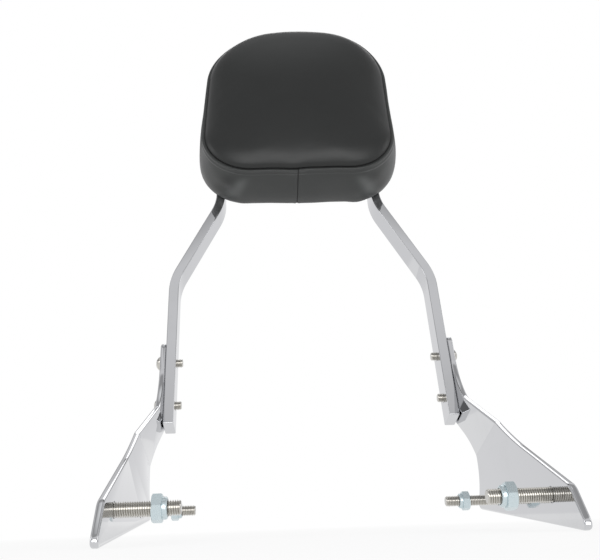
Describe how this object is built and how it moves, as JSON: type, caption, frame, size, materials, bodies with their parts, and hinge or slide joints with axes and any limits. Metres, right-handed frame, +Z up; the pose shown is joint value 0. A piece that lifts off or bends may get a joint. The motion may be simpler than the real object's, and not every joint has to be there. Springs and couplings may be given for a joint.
{
  "type": "sissy bar",
  "caption": "Motorbike passenger backrest: a bent chromed flat-bar hoop with a padded vinyl rest, bolted between two joggled side plates for the fender struts.",
  "frame": {"origin": "midway between the two front strut holes, on their common axis", "axes": "+X to the rider's left, +Y to the rear of the motorbike, +Z up; the pad faces -Y"},
  "size_m": [0.298, 0.3776, 0.5458],
  "materials": {
    "chrome": "bright chrome plate",
    "stainless": "plain stainless steel, turned heads",
    "zinc": "pale blue zinc plating",
    "nylon": "white nylon",
    "vinyl": "black grained vinyl, satin",
    "foam": "moulded foam",
    "board": "plywood"
  },
  "bodies": {
    "root": {"upright_hoop": "chrome", "lower_pad_strap": "chrome", "upper_pad_strap": "chrome", "face_panel": "vinyl", "side_band": "vinyl", "foam_core": "foam", "backing_board": "board", "back_cover": "vinyl", "tee_nut_low_left": "zinc", "tee_nut_low_right": "zinc", "tee_nut_high_left": "zinc", "tee_nut_high_right": "zinc", "pad_screw_low_left": "stainless", "pad_screw_low_right": "stainless", "pad_screw_high_left": "stainless", "pad_screw_high_right": "stainless", "pad_washer_low_left": "zinc", "pad_washer_low_right": "zinc", "pad_washer_high_left": "zinc", "pad_washer_high_right": "zinc", "side_plate_left": "chrome", "side_plate_right": "chrome", "leg_screw_low_left": "stainless", "leg_screw_low_right": "stainless", "leg_screw_high_left": "stainless", "leg_screw_high_right": "stainless", "strut_bolt_front_left": "stainless", "strut_bolt_front_right": "stainless", "strut_bolt_rear_left": "stainless", "strut_bolt_rear_right": "stainless", "lock_nut_front_left": "zinc", "lock_nut_front_right": "zinc", "lock_nut_rear_left": "zinc", "lock_nut_rear_right": "zinc", "nylon_ring_front_left": "nylon", "nylon_ring_front_right": "nylon", "nylon_ring_rear_left": "nylon", "nylon_ring_rear_right": "nylon"}
  },
  "joints": []
}
